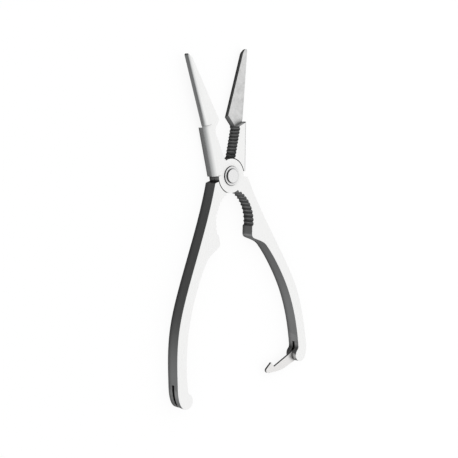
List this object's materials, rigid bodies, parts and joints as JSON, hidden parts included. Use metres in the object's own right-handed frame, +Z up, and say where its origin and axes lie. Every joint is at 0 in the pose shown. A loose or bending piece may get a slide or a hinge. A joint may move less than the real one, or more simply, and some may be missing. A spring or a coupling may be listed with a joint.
{
  "type": "fishing pliers",
  "caption": "Stainless fishing pliers and scissors: crossed levers on a lap pivot, bypass blades, scalloped grips and a swinging handle catch.",
  "frame": {"origin": "on the pivot axis, at the back face of the levers, which lies on the table", "axes": "+Z up through the thickness along the pivot axis, +Y towards the blade tips, +X across to the right"},
  "size_m": [0.1132, 0.2075, 0.0102],
  "materials": {
    "satin_steel": "satin ground faces, tumbled sides",
    "polished_steel": "polished",
    "turned_steel": "turned",
    "pressed_steel": "blanked sheet, satin",
    "spring_steel": "drawn wire",
    "bronze": "sintered",
    "washer_polymer": "moulded"
  },
  "bodies": {
    "front_half": {"front_lever": "satin_steel", "pivot_screw": "polished_steel", "pivot_sleeve": "turned_steel", "front_washer": "polished_steel", "rear_spring_washer": "spring_steel", "lap_washer": "washer_polymer", "latch_pin": "turned_steel", "latch_washer_front": "washer_polymer", "latch_washer_rear": "washer_polymer"},
    "rear_half": {"rear_lever": "satin_steel", "rear_bush": "bronze", "opening_spring": "spring_steel"},
    "latch": {"latch_hook": "pressed_steel"}
  },
  "joints": [
    {"name": "pliers_pivot", "type": "hinge", "parent": "front_half", "child": "rear_half", "pos_m": [0, 0, 0], "axis": [0, 0, 1], "range_deg": [-14, 38], "stiffness_Nm_per_rad": 0.4, "deforming": ["opening_spring"]},
    {"name": "latch_pivot", "type": "hinge", "parent": "front_half", "child": "latch", "pos_m": [0.05046, -0.1272, 0], "axis": [0, 0, 1], "range_deg": [-3, 100]}
  ]
}
